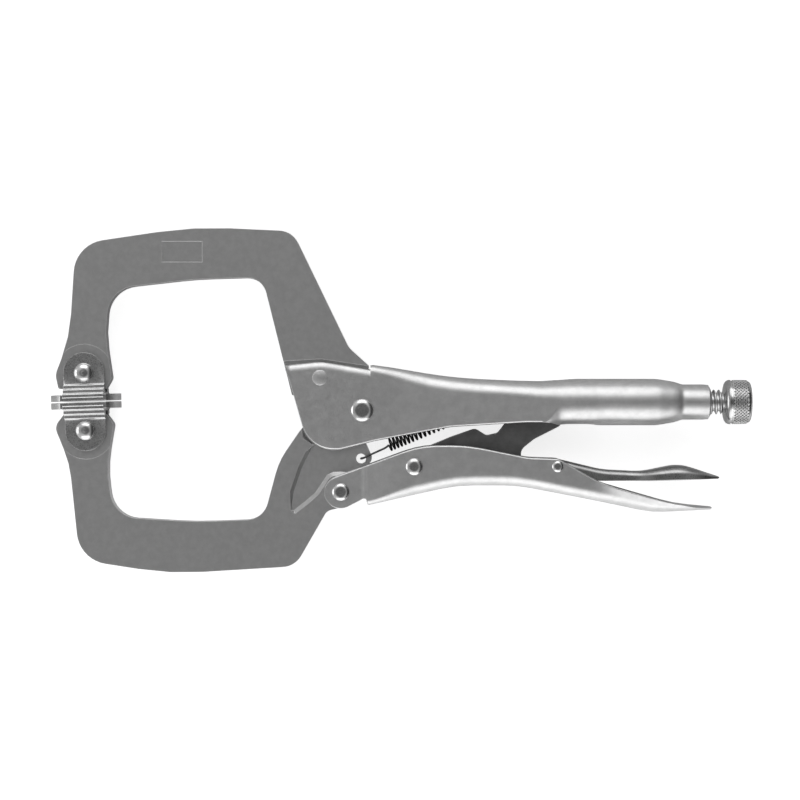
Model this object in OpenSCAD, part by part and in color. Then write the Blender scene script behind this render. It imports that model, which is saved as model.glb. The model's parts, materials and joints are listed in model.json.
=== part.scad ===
// Locking pliers with a deep C-shaped pair of jaws and swivel pads.
// The tool lies on its side: X runs from the pads to the adjusting knob, Y from the
// moving handle to the fixed one, and Z through the thickness, with the mid-plane at 0.
// The origin is the middle of the fixed pad's clamping face.

/* [Jaws] */
// Thickness of both jaw arms
arm_t = 8; // [7:0.1:10]
// Thickness of the two tangs that sit between the handle's sides
tang_t = 6; // [5:0.1:6.5]
// Depth of the coined seat under each pad bracket
seat_depth = 0.15; // [0.1:0.05:0.4]
// Depth of the stamped frame on the fixed arm
stamp_depth = 0.3; // [0.1:0.05:0.6]

/* [Handles] */
// Thickness of the pressed sheet
sheet = 2; // [1.6:0.1:2.3]
// Half the width of the fixed handle at its rear
rear_half_w = 8.6; // [8:0.1:9]
// Half the width of the moving handle at its middle
grip_half_w = 8.2; // [7.8:0.1:9]
// Outer radius of the rolled barrel
barrel_r = 9.3; // [9:0.1:10]
// Outer radius of the tube that the screw runs in
tube_r = 7.05; // [6.5:0.05:8]

/* [Screw] */
// Radius of the screw over its thread
screw_r = 4.98; // [4.5:0.02:5.4]
// Radius of the knob
knob_r = 8.95; // [7:0.05:10]
// Length of the knob
knob_len = 10.6; // [8:0.1:14]
// Free travel kept between the link's end and the screw's tip
link_end_gap = 2.2; // [2:0.1:4]

/* [Pads] */
// Radius of a pad plate
pad_r = 14; // [12:0.1:16]
// Thickness of a pad plate
pad_t = 2.6; // [2:0.1:2.8]
// Gap between the closed pads
pad_gap = 0.5; // [0.3:0.1:1.5]
// Half the width of a pad bracket
yoke_half_w = 8.1; // [7:0.1:8.5]
// Thickness of a pad bracket's ears
ear_t = 1.6; // [1.2:0.1:2]
// Distance from a pad's pivot to its clamping face
pad_reach = 11.2; // [10.8:0.1:11.5]
// Tilt of the closed pads
pad_tilt = 1.9; // [0:0.1:2.5]

/* [Rivets] */
// Shank radius of the main pivot rivet
main_pin_r = 3.2; // [2.5:0.1:3.8]
// Shank radius of the moving handle's rivet
handle_pin_r = 2.5; // [2:0.1:3]
// Shank radius of the toggle rivet
toggle_pin_r = 2.4; // [2:0.1:3]
// Shank radius of the release lever rivet
lever_pin_r = 1.6; // [1.2:0.1:2]
// Shank radius of the pad rivets
pad_pin_r = 2.6; // [2:0.1:3]
// Radius of the flush rivet
flush_pin_r = 3.05; // [2.5:0.05:3.5]
// Head radius of the main pivot rivet
main_head_r = 4.5; // [4:0.1:5.5]
// Head radius of the moving handle's rivet
handle_head_r = 3.5; // [3.2:0.1:4.5]
// Head radius of the toggle rivet
toggle_head_r = 3.4; // [3.1:0.1:4]
// Head radius of the release lever rivet
lever_head_r = 2.3; // [2.1:0.1:3]
// Head radius of the pad rivets
pad_head_r = 3.9; // [3.3:0.1:4.5]

/* [Link, lever and spring] */
// Thickness of the toggle link
link_t = 5; // [4:0.1:5.5]
// Sheet of the release lever
lever_sheet = 1.6; // [1.2:0.1:2]
// Outer radius of the spring's coil
coil_r = 2.75; // [2:0.05:3]
// Radius of the spring's wire
wire_r = 0.6; // [0.4:0.05:0.7]
// Radius of the spring's hole in the moving jaw
spring_hole_r = 2; // [1.5:0.1:2.2]

/* [Hidden] */
$fn = 64;

// Colours
plate_grey = [0.62, 0.63, 0.64];
arm_grey = [0.47, 0.48, 0.49];
link_grey = [0.35, 0.355, 0.36];
lever_grey = [0.4, 0.405, 0.41];
rivet_grey = [0.72, 0.725, 0.73];
pad_grey = [0.66, 0.665, 0.67];
screw_grey = [0.5, 0.505, 0.51];
knob_grey = [0.6, 0.605, 0.61];
wire_black = [0.12, 0.12, 0.12];

// Clearances
pin_gap = 0.05;         // round a rivet that something turns on
side_gap = 0.2;         // between a tang and the sheet beside it
ear_gap = 0.1;          // between an ear and the face it turns on
swing_gap = 1.2;        // round the main pivot's boss
cut = 1;                // how far a cutting body runs past a face
arc_step = 9;           // degrees of arc in each flat of an outline's corner

// Pivots
jaw_pivot = [110.4, -3.7];
handle_pivot = [101.9, -36.2];
toggle_pivot = [131.1, -26.1];
lever_pivot = [188.1, -26];
link_end = [207.5, -0.4];
flush_rivet = [93.6, 9.3];
spring_hole = [109.9, -23];
upper_pad_pivot = pad_reach * [-sin(pad_tilt), cos(pad_tilt)];
lower_pad_pivot = [0, -pad_gap] - upper_pad_pivot;

// Widths across the sheet and the arms
plate_in = tang_t / 2 + side_gap;
plate_out = plate_in + sheet;
ear_in = arm_t / 2 + ear_gap;
ear_out = ear_in + sheet;
joggle_out = ear_out + 1.1;
seat_z = arm_t / 2 - seat_depth;
yoke_in = seat_z + ear_gap;
yoke_out = yoke_in + ear_t;

// Stations along the handles
web_start = 113.7;      // front end of the fixed handle's top bend
barrel_start = 189;
barrel_end = 228;
tube_start = 238.2;
tube_end = 249.5;
notch_x = 112.6;        // front end of the moving handle's bend
knob_start = 255;

// ---- outlines ------------------------------------------------------------------

function unit(v) = v / norm(v);
function arc_points(c, r, from, to) =
    let (n = max(2, ceil(abs(to - from) / arc_step)))
    [for (i = [0:n]) c + r * [cos(from + (to - from) * i / n), sin(from + (to - from) * i / n)]];

// One corner of an outline, rounded with radius r between its two neighbours.
function corner(before, at, after, r) =
    let (u = unit(before - at), v = unit(after - at),
         half = acos(min(1, max(-1, u * v))) / 2,
         c = at + unit(u + v) * r / sin(half),
         s = at + u * r / tan(half) - c,
         e = at + v * r / tan(half) - c,
         a = atan2(s[1], s[0]),
         turn = (atan2(e[1], e[0]) - a + 540) % 360 - 180)
    arc_points(c, r, a, a + turn);

function place(p) = [p[0], p[1]];

// A closed outline from [x, y, radius] corners.
function rounded(pts) =
    let (n = len(pts))
    [for (i = [0:n - 1])
        each (pts[i][2] == 0 ? [place(pts[i])]
              : corner(place(pts[(i + n - 1) % n]), place(pts[i]), place(pts[(i + 1) % n]), pts[i][2]))];

function shifted(pts, dy) = [for (p = pts) [p[0], p[1] + dy, p[2]]];
function backwards(pts) = [for (i = [len(pts) - 1:-1:0]) pts[i]];
function narrowed(pts, by) = [for (p = pts) [p[0], p[1] - by]];

module slab(pts, t) linear_extrude(t, center = true) polygon(pts);

// A prism whose plan is symmetric about the mid-plane, from [x, half width] stations.
module plan(stations, h = 120) {
    mirrored = [for (s = backwards(stations)) [s[0], -s[1]]];
    rotate([90, 0, 0]) linear_extrude(h, center = true) polygon(concat(stations, mirrored));
}

module pin_hole(at, r) translate([at[0], at[1], 0]) cylinder(r = r, h = 60, center = true);

// A solid turned about an axis along X, from [radius, x] points.
module turned(pts) rotate([0, 90, 0]) rotate_extrude() polygon(pts);

// A rivet along Z with a low domed head on each side.
module rivet(at, shank_r, grip, head_r, head_h) {
    flat_r = head_r * 0.6;
    edge = head_h * 0.35;
    top = grip + head_h;
    translate([at[0], at[1], 0]) rotate_extrude()
        polygon([[0, -top], [flat_r, -top], [head_r * 0.88, -grip - 2 * edge], [head_r, -grip - edge],
                 [head_r, -grip], [shank_r, -grip], [shank_r, grip], [head_r, grip],
                 [head_r, grip + edge], [head_r * 0.88, grip + 2 * edge], [flat_r, top], [0, top]]);
}

// ---- fixed handle and jaw --------------------------------------------------------

handle_web = [[web_start, 14.5, 0.3], [122, 13.4, 40], [147, 9.2, 150], [176, 8, 100], [190, 8, 0]];
handle_side = concat(
    [[79.6, 14.4, 0.6], [89.3, -19.5, 13], [101.5, -19.4, 8], [145.5, -8.5, 250], [184.5, -8.5, 4],
     [189.3, -9.7, 0], [190, -9.7, 0]],
    backwards(handle_web),
    [[web_start, 12.7, 0], [94, 16, 20]]);
handle_plan = [[70, plate_out], [125, plate_out], [barrel_start - 4, rear_half_w], [200, rear_half_w]];
handle_cavity = concat(
    [[60, 40, 0], [60, -40, 0], [200, -40, 0], [200, 8 - sheet, 0]],
    backwards(shifted(handle_web, -sheet)),
    [[web_start - 0.01, 40, 0]]);
barrel_y = link_end[1];
thread_r = screw_r + pin_gap;
anchor_x = 160;         // front face of the tab that holds the spring
link_slot_end = 203;    // rear end of the slot under the barrel that the link swings in
link_slot_half_w = link_t / 2 + 0.5;

module upper_handle() color(plate_grey) {
    difference() {
        union() {
            difference() {
                intersection() {
                    slab(rounded(handle_side), 40);
                    plan(handle_plan);
                }
                intersection() {
                    slab(rounded(handle_cavity), 40);
                    plan(narrowed(handle_plan, sheet));
                }
            }
            translate([0, barrel_y, 0]) turned([
                [barrel_r - sheet, barrel_start], [barrel_r, barrel_start], [barrel_r, barrel_end],
                [tube_r + 0.45 * (barrel_r - tube_r), tube_start - 2.8], [tube_r, tube_start],
                [tube_r, tube_end - 1], [thread_r + 0.3, tube_end],
                [thread_r, tube_end], [thread_r, barrel_end - 2], [barrel_r - sheet, barrel_end - 5]]);
            spring_anchor();
        }
        pin_hole(flush_rivet, flush_pin_r);
        pin_hole(jaw_pivot, main_pin_r);
        translate([barrel_start - 5, barrel_y - 20, -link_slot_half_w])
            cube([link_slot_end - barrel_start + 5, 20, 2 * link_slot_half_w]);
    }
}

// Tab pressed down from the handle's top, which the spring's far hook holds on to.
module spring_anchor() translate([anchor_x, -3.4, -1.5]) cube([sheet, 11.4, 3]);

upper_arm_outer = [
    [113, 14.2, 0], [105, 21.4, 9], [82.6, 67.7, 8.5], [43.4, 69.5, 150], [-3.9, 62.5, 13.5],
    [-6.2, 25.5, 60], [-11.9, 10.5, 6], [-10.6, 4.8, 0.8]];
upper_arm_inner = [
    [8.2, 4.8, 0.8], [10.6, 9, 2.5], [7.8, 27.5, 50], [10.3, 44.8, 12], [44, 48.6, 150], [70.6, 49.4, 8],
    [82.4, 2.2, 0.6]];
boss_clear_r = 9 + swing_gap;
upper_tang = [for (p = arc_points(jaw_pivot, boss_clear_r, 134, 76)) [p[0], p[1], 0]];
upper_jaw_outline = concat(upper_arm_outer, upper_arm_inner, [[97.5, 3.2, 1]], upper_tang, [[113, 8, 0]]);
upper_pocket = [[70, 15.3], [86.5, 16.4], [94, 16.8], [99.5, 16], [120, 12.9], [120, -40], [70, -40]];
stamp = [[30.6, 55.4], [46.7, 63.6]];

// Cuts both faces of an arm down to thickness t inside an outline.
module thinned(pts, t) for (side = [-1, 1])
    translate([0, 0, side * (t / 2 + arm_t / 2)]) slab(pts, arm_t);

module pad_seat(at) {
    r = norm([yoke_half_w, pad_reach - pad_t - base_t]) + side_gap;
    for (side = [-1, 1]) translate([at[0], at[1], side * (seat_z + arm_t / 2)])
        cylinder(r = r, h = arm_t, center = true);
}

module upper_jaw() color(arm_grey) difference() {
    slab(rounded(upper_jaw_outline), arm_t);
    thinned(upper_pocket, tang_t);
    pad_seat(upper_pad_pivot);
    translate([stamp[0][0], stamp[0][1], arm_t / 2 - stamp_depth])
        cube([stamp[1][0] - stamp[0][0], stamp[1][1] - stamp[0][1], cut]);
    pin_hole(flush_rivet, flush_pin_r);
    pin_hole(upper_pad_pivot, pad_pin_r);
}

module jaw_fixing_rivet() color(plate_grey) translate([flush_rivet[0], flush_rivet[1], 0])
    cylinder(r = flush_pin_r, h = 2 * plate_out, center = true);

module jaw_pivot_rivet() color(rivet_grey) rivet(jaw_pivot, main_pin_r, plate_out, main_head_r, 1.5);

// ---- moving jaw ------------------------------------------------------------------

lower_arm = [
    [8.5, -5.3, 0.8], [11.4, -9.2, 2.5], [8.4, -27, 50], [11.5, -46.2, 11.5], [44, -48.2, 150],
    [71, -47.2, 9], [77.2, -24, 30], [86.8, -10, 20], [95.5, -3.2, 4]];
pivot_boss = [for (p = arc_points(jaw_pivot, 9, 140, -60)) [p[0], p[1], 0]];
tang_back = [[111.6, -16.2, 1.5], [114.6, -23, 3], [111, -28.5, 2]];
handle_boss = [for (p = arc_points(handle_pivot, 6.2, 20, -80)) [p[0], p[1], 0]];
lower_back = [
    [96.4, -43.8, 4], [83.7, -65.9, 9], [34, -68.9, 120], [-2.2, -63.3, 13.5], [-6.2, -25, 40],
    [-12.2, -10.2, 4.5], [-8.4, -5.3, 0.8]];
lower_jaw_outline = concat(lower_arm, pivot_boss, tang_back, handle_boss, lower_back);
lower_pocket = concat(
    [[84.3, -2], [85.7, -9.4], [87.9, -14], [91, -17.5], [89.1, -21.2], [86.4, -26.7], [83.1, -36.4],
     [82, -43.6], [83.1, -43.6], [87.7, -40], [91.8, -36.4], [94.6, -32.2], [96.4, -29.5], [98.8, -28.3]],
    arc_points(handle_pivot, 8, 90, 10),
    [[130, -35], [130, 20], [84, 20]]);

module lower_jaw() color(arm_grey) difference() {
    slab(rounded(lower_jaw_outline), arm_t);
    thinned(lower_pocket, tang_t);
    pad_seat(lower_pad_pivot);
    pin_hole(jaw_pivot, main_pin_r + pin_gap);
    pin_hole(handle_pivot, handle_pin_r + pin_gap);
    pin_hole(spring_hole, spring_hole_r);
    pin_hole(lower_pad_pivot, pad_pin_r);
}

// ---- moving handle ---------------------------------------------------------------

ear_r = 6.6;
grip_back = [
    [110.8, -39, 0.6], [112, -39, 0.6], [notch_x, -41.6, 0.5], [148, -33.7, 60], [172, -33.7, 60],
    [200, -39.1, 200], [226, -44.6, 40], [249.9, -43.4, 0.3]];
grip_front = [
    [249.9, -42.1, 0.3], [235, -40.8, 60], [204, -31.9, 30], [188.5, -22.8, 5], [176.5, -22.4, 12],
    [152, -17.5, 60], [133.5, -17.6, 40]];
ear_lobe = [for (p = arc_points(handle_pivot, ear_r, 108, 300)) [p[0], p[1], 0]];
grip_side = concat(ear_lobe, grip_back, grip_front);
joggle_end = 116.5;     // where the moving handle's sides have stepped outwards
full_width_x = 150;     // from here back the moving handle is at its full width
grip_spread = [[90, ear_out], [joggle_end - 2.7, ear_out], [joggle_end, joggle_out],
               [full_width_x, grip_half_w], [190, grip_half_w], [216, 7.4], [240, 5.6]];
grip_plan = concat(grip_spread, [[247, 4], [249.9, 1.6]]);
grip_cavity_plan = concat(narrowed(grip_spread, sheet), [[246, 1], [260, 0.5]]);
grip_cavity = concat(
    [[80, 0, 0], [80, -60, 0], [notch_x - 0.01, -60, 0], [notch_x - 0.01, -41.6 + sheet, 0]],
    shifted([for (i = [3:len(grip_back) - 1]) grip_back[i]], sheet),
    [[260, 0, 0]]);

module lower_handle() color(plate_grey) difference() {
    intersection() {
        slab(rounded(grip_side), 40);
        plan(grip_plan);
    }
    intersection() {
        slab(rounded(grip_cavity), 40);
        plan(grip_cavity_plan);
    }
    pin_hole(handle_pivot, handle_pin_r);
    pin_hole(toggle_pivot, toggle_pin_r);
    pin_hole(lever_pivot, lever_pin_r);
}

module lower_jaw_rivet() color(rivet_grey) rivet(handle_pivot, handle_pin_r, ear_out, handle_head_r, 1.3);

toggle_share = (toggle_pivot[0] - joggle_end) / (full_width_x - joggle_end);
toggle_grip = joggle_out + (grip_half_w - joggle_out) * toggle_share + 0.1;
module toggle_rivet() color(rivet_grey) rivet(toggle_pivot, toggle_pin_r, toggle_grip, toggle_head_r, 1.3);
module release_lever_rivet() color(rivet_grey) rivet(lever_pivot, lever_pin_r, grip_half_w, lever_head_r, 0.9);

// ---- toggle link and release lever -------------------------------------------------

link_end_r = 3.2;
link_side = concat(
    [for (p = arc_points(toggle_pivot, 5.4, 120, 285)) [p[0], p[1], 0]],
    [[171, -26.6, 2], [174, -24.5, 1.5], [173.6, -19.5, 4], [179, -15.2, 6], [188.9, -10.2, 1],
     [192, -6.6, 2]],
    [for (p = arc_points(link_end, link_end_r, -65, 110)) [p[0], p[1], 0]],
    [[176, -4.8, 8], [167.5, -8.8, 2], [164.5, -12.7, 2], [160, -13.7, 2.5], [155.5, -10.9, 2.5],
     [146, -14.2, 15]]);

module toggle_link() color(link_grey) difference() {
    slab(rounded(link_side), link_t);
    pin_hole(toggle_pivot, toggle_pin_r + pin_gap);
}

lever_top = [[177.5, -23.3, 1], [187, -22.7, 4], [206, -27.3, 30], [222, -28.1, 25], [237, -24.9, 18],
             [253.2, -30.2, 0.4]];
lever_bottom = [[252.6, -31, 0.3], [225, -31.8, 60], [205, -31.8, 10], [192, -30.4, 6], [186, -30.2, 4],
                [177.5, -25.6, 1]];
lever_half_w = grip_half_w - sheet - 0.5;
lever_spread = [[170, lever_half_w], [219, lever_half_w - 1], [227, 7.3], [238, 7.6], [247, 6]];
lever_plan = concat(lever_spread, [[251, 3.6], [253.4, 1.2]]);
lever_cavity = concat(shifted(lever_top, -lever_sheet), [[253.2, -50, 0], [177.5, -50, 0]]);

module release_lever() color(lever_grey) difference() {
    intersection() {
        slab(rounded(concat(lever_top, lever_bottom)), 40);
        plan(lever_plan);
    }
    intersection() {
        slab(rounded(lever_cavity), 40);
        plan(narrowed(lever_spread, lever_sheet));
    }
    pin_hole(lever_pivot, lever_pin_r + pin_gap);
}

// ---- adjusting screw ---------------------------------------------------------------

screw_tip = link_end[0] + link_end_r + link_end_gap;
spigot_r = 3;
spigot_len = knob_len - 3;
module adjusting_screw() color(screw_grey) translate([0, barrel_y, 0]) turned([
    [0, screw_tip], [screw_r - 1, screw_tip], [screw_r, screw_tip + 1], [screw_r, knob_start - 0.3],
    [spigot_r, knob_start - 0.3], [spigot_r, knob_start + spigot_len], [0, knob_start + spigot_len]]);

module adjusting_knob() color(knob_grey) translate([0, barrel_y, 0]) turned([
    [spigot_r + pin_gap, knob_start], [knob_r - 1.8, knob_start], [knob_r - 0.5, knob_start + 1.2],
    [knob_r, knob_start + 3], [knob_r, knob_start + knob_len - 1], [knob_r - 1, knob_start + knob_len],
    [0, knob_start + knob_len], [0, knob_start + spigot_len + 0.2],
    [spigot_r + pin_gap, knob_start + spigot_len + 0.2]]);

// ---- spring ------------------------------------------------------------------------

coil_from = [121, -17.6, 0];
coil_to = [154.5, -3.7, 0];
hook_z = tang_t / 2 + 1;
hook_knee = [coil_from[0] - 4, coil_from[1] - 2.2, hook_z];
hook_over = [spring_hole[0] + 0.3, spring_hole[1], hook_z];
anchor_y = -1.5;

module rod(p, q, r) {
    d = q - p;
    translate(p) rotate([0, acos(d[2] / norm(d)), atan2(d[1], d[0])]) cylinder(r = r, h = norm(d), $fn = 16);
}

module spring() color(wire_black) {
    inside = unit(coil_to - coil_from);
    rod(coil_from, coil_to, coil_r);
    rod(coil_from + inside, hook_knee, wire_r);
    rod(hook_knee, hook_over, wire_r);
    rod(hook_over, [hook_over[0], hook_over[1], -hook_z], wire_r);
    for (bend = [hook_knee, hook_over]) translate(bend) sphere(r = 1.2 * wire_r, $fn = 24);
    rod(coil_to - inside, [anchor_x - wire_r - 0.3, anchor_y, 0], wire_r);
}

// ---- swivel pads -------------------------------------------------------------------

flat_z = 10.6;          // half the depth of a pad plate across its two flats
step_y = [1.2, 3, 4.8, 6.6];
step_z = [flat_z + 1, 9.2, 7.4, yoke_out];
base_t = 0.8;

// The upper pad, drawn with its clamping face on Y = 0.
module pad_plate() intersection() {
    rotate([-90, 0, 0]) cylinder(r = pad_r, h = pad_t);
    translate([-pad_r - cut, -cut, -flat_z]) cube([2 * (pad_r + cut), pad_t + 2 * cut, 2 * flat_z]);
}

module yoke_section() polygon([
    for (i = [0:2]) each [[step_z[i], step_y[i]], [step_z[i], step_y[i + 1]]],
    [yoke_out, step_y[3]], [yoke_out, step_y[3] + cut], [yoke_in, step_y[3] + cut],
    [yoke_in, pad_t + base_t], [0, pad_t + base_t], [0, pad_t], [flat_z, pad_t], [flat_z, step_y[0]]]);

module pad_yoke() difference() {
    union() {
        for (side = [0, 1]) mirror([0, 0, side]) {
            rotate([0, -90, 0]) linear_extrude(2 * yoke_half_w, center = true) yoke_section();
            translate([0, 0, (yoke_in + yoke_out) / 2]) linear_extrude(ear_t, center = true)
                union() {
                    translate([0, pad_reach]) circle(r = yoke_half_w);
                    translate([-yoke_half_w, step_y[3]]) square([2 * yoke_half_w, pad_reach - step_y[3]]);
                }
        }
    }
    translate([0, pad_reach, 0]) cylinder(r = pad_pin_r + pin_gap, h = 40, center = true);
}

module at_upper_pad() rotate([0, 0, pad_tilt]) children();
module at_lower_pad() translate([0, -pad_gap, 0]) rotate([0, 0, pad_tilt]) mirror([0, 1, 0]) children();

module pad_rivet(at) color(rivet_grey) rivet(at, pad_pin_r, yoke_out + pin_gap, pad_head_r, 2.2);

module upper_pad_yoke() color(pad_grey) at_upper_pad() pad_yoke();
module lower_pad_yoke() color(pad_grey) at_lower_pad() pad_yoke();
module upper_pad_disc() color(screw_grey) at_upper_pad() pad_plate();
module lower_pad_disc() color(screw_grey) at_lower_pad() pad_plate();
module upper_pad_rivet() pad_rivet(upper_pad_pivot);
module lower_pad_rivet() pad_rivet(lower_pad_pivot);

upper_handle();
upper_jaw();
jaw_fixing_rivet();
jaw_pivot_rivet();
lower_jaw();
lower_handle();
lower_jaw_rivet();
toggle_link();
toggle_rivet();
release_lever();
release_lever_rivet();
adjusting_screw();
adjusting_knob();
spring();
upper_pad_yoke();
upper_pad_disc();
upper_pad_rivet();
lower_pad_yoke();
lower_pad_disc();
lower_pad_rivet();
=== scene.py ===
"""Locking pliers with swivel pads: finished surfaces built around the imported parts."""
import json
import math
from collections import namedtuple

import bmesh
import bpy
import numpy as np
from mathutils import Matrix, Vector


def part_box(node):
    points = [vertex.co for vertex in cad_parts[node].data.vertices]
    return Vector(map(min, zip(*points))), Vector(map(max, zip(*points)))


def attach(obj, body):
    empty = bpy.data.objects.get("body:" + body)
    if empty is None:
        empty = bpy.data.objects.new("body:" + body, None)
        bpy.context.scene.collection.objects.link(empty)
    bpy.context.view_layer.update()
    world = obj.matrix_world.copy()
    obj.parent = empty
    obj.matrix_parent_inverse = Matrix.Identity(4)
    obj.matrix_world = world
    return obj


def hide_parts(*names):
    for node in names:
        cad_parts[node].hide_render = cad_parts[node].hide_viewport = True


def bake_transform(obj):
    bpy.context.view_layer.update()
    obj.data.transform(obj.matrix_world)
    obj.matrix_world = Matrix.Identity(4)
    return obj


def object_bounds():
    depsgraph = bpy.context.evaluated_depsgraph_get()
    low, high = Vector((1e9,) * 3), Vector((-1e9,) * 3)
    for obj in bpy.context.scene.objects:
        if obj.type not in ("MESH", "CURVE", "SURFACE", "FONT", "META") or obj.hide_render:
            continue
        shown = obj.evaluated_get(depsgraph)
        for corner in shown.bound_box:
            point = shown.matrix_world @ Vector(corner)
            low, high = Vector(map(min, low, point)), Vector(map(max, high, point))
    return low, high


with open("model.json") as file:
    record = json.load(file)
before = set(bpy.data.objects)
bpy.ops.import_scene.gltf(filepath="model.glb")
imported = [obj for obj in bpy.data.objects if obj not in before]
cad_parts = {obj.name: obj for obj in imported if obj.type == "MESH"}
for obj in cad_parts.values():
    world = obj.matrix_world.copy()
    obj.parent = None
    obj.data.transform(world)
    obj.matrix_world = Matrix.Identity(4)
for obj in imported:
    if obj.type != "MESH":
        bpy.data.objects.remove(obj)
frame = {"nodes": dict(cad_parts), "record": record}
cad_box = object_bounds()

MM = 0.001
NEAR = 1e-5  # two places closer than this, in metres, count as one
BODY_OF = {node: body for body, nodes in frame["record"]["behaviour"]["bodies"].items() for node in nodes}


# ---- small helpers ---------------------------------------------------------------

def smooth_step(x, low, high):
    """0 below low, 1 above high, and a soft turn between them."""
    t = min(1.0, max(0.0, (x - low) / (high - low)))
    return t * t * (3 - 2 * t)


def blend_values(a, b, t):
    return a + (b - a) * t


def spaced(*stretches):
    """Stations from (start, end, step) stretches, in millimetres, each end used once."""
    found = []
    for start, end, step in stretches:
        count = max(1, round((end - start) / step))
        found += [start + (end - start) * i / count for i in range(count)]
    return found + [stretches[-1][1]]


def make_object(name, verts, faces):
    """A mesh object at the origin from points in millimetres."""
    mesh = bpy.data.meshes.new(name)
    mesh.from_pydata([(x * MM, y * MM, z * MM) for x, y, z in verts], [], faces)
    obj = bpy.data.objects.new(name, mesh)
    bpy.context.scene.collection.objects.link(obj)
    return obj


def clean(obj, dissolve=False, merge=2e-6, cap=False):
    """Merges doubled points, drops empty faces, closes open ends and turns every face outwards."""
    bm = bmesh.new()
    bm.from_mesh(obj.data)
    bmesh.ops.remove_doubles(bm, verts=bm.verts, dist=merge)
    bmesh.ops.dissolve_degenerate(bm, dist=merge, edges=bm.edges)
    if dissolve:
        bmesh.ops.dissolve_limit(bm, angle_limit=math.radians(0.4), verts=bm.verts, edges=bm.edges)
    if cap:
        bmesh.ops.holes_fill(bm, edges=[e for e in bm.edges if e.is_boundary], sides=0)
    bmesh.ops.recalc_face_normals(bm, faces=bm.faces)
    bm.to_mesh(obj.data)
    bm.free()


def round_edges(obj, width, segments=3, angle=28):
    """Rounds the sharp edges and shades the piece smooth, with its flats kept flat."""
    obj.data.shade_smooth()
    bevel = obj.modifiers.new("edges", "BEVEL")
    bevel.width = width * MM
    bevel.segments = segments
    bevel.limit_method = "ANGLE"
    bevel.angle_limit = math.radians(angle)
    bevel.harden_normals = True
    bevel.use_clamp_overlap = True
    bake_modifiers(obj)


def bake_modifiers(obj):
    """Turns the modified result into the object's own plain mesh."""
    graph = bpy.context.evaluated_depsgraph_get()
    graph.update()
    plain = bpy.data.meshes.new_from_object(obj.evaluated_get(graph))
    obj.modifiers.clear()
    obj.data = plain


def dress(obj, material, *nodes):
    """Gives a piece its finish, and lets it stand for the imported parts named."""
    obj.data.materials.clear()
    obj.data.materials.append(material)
    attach(obj, BODY_OF[nodes[0]])
    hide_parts(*nodes)
    return obj


def shade_sharp(obj, angle):
    """Smooth shading, with edges over an angle in degrees kept sharp."""
    obj.data.shade_smooth()
    obj.data.set_sharp_from_angle(angle=math.radians(angle))


def join_meshes(name, objs):
    """One object from several, all at the origin."""
    bm = bmesh.new()
    for obj in objs:
        bm.from_mesh(obj.data)
        bpy.data.objects.remove(obj)
    mesh = bpy.data.meshes.new(name)
    bm.to_mesh(mesh)
    bm.free()
    joined = bpy.data.objects.new(name, mesh)
    bpy.context.scene.collection.objects.link(joined)
    return joined


def box_mm(node):
    low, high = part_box(node)
    return low / MM, high / MM


# ---- finishes --------------------------------------------------------------------

def feed(tree, socket, value):
    """Sets a socket to a number, or links another socket to it."""
    if isinstance(value, bpy.types.NodeSocket):
        tree.links.new(value, socket)
    else:
        socket.default_value = value


def maths(tree, operation, *values):
    node = tree.nodes.new("ShaderNodeMath")
    node.operation = operation
    for socket, value in zip(node.inputs, values):
        feed(tree, socket, value)
    return node.outputs[0]


def plus(tree, a, b):
    return maths(tree, "ADD", a, b)


def minus(tree, a, b):
    return maths(tree, "SUBTRACT", a, b)


def times(tree, a, b):
    return maths(tree, "MULTIPLY", a, b)


def ranged(tree, value, low, high, to_low=0.0, to_high=1.0, kind="LINEAR"):
    """A value's place between low and high, given back between to_low and to_high."""
    node = tree.nodes.new("ShaderNodeMapRange")
    node.interpolation_type = kind
    for name, given in (("Value", value), ("From Min", low), ("From Max", high), ("To Min", to_low),
                        ("To Max", to_high)):
        feed(tree, node.inputs[name], given)
    return node.outputs["Result"]


def eased(tree, value, low, high, to_low=0.0, to_high=1.0):
    """As ranged, with a soft start and end."""
    return ranged(tree, value, low, high, to_low, to_high, "SMOOTHSTEP")


def mixed(tree, factor, a, b):
    """A colour between a and b."""
    node = tree.nodes.new("ShaderNodeMix")
    node.data_type = "RGBA"
    for name, given in (("Factor", factor), ("A", a), ("B", b)):
        feed(tree, node.inputs[name], given)
    return node.outputs["Result"]


def grouped(tree, group, values):
    """A copy of a node group with its inputs set, as its outputs."""
    node = tree.nodes.new("ShaderNodeGroup")
    node.node_tree = group
    for name, value in values.items():
        feed(tree, node.inputs[name], value)
    return node.outputs


def vector(tree, x, y, z):
    node = tree.nodes.new("ShaderNodeCombineXYZ")
    for socket, value in zip(node.inputs, (x, y, z)):
        feed(tree, socket, value)
    return node.outputs[0]


def edge_group():
    """Mask of the convex edges, made bright partly by worn plating and partly as a painted highlight."""
    tree = bpy.data.node_groups.new("wear_and_highlight_edges", "ShaderNodeTree")
    tree.interface.new_socket("Radius", in_out="INPUT", socket_type="NodeSocketFloat")
    tree.interface.new_socket("Amount", in_out="INPUT", socket_type="NodeSocketFloat")
    tree.interface.new_socket("Mask", in_out="OUTPUT", socket_type="NodeSocketFloat")
    given = tree.nodes.new("NodeGroupInput").outputs
    soft = tree.nodes.new("ShaderNodeBevel")
    soft.samples = 4
    feed(tree, soft.inputs["Radius"], given["Radius"])
    likeness = tree.nodes.new("ShaderNodeVectorMath")
    likeness.operation = "DOT_PRODUCT"
    feed(tree, likeness.inputs[0], soft.outputs["Normal"])
    feed(tree, likeness.inputs[1], tree.nodes.new("ShaderNodeNewGeometry").outputs["Normal"])
    mask = times(tree, minus(tree, 1.0, likeness.outputs["Value"]), given["Amount"])
    mask.node.use_clamp = True
    feed(tree, tree.nodes.new("NodeGroupOutput").inputs["Mask"], mask)
    return tree


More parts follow.
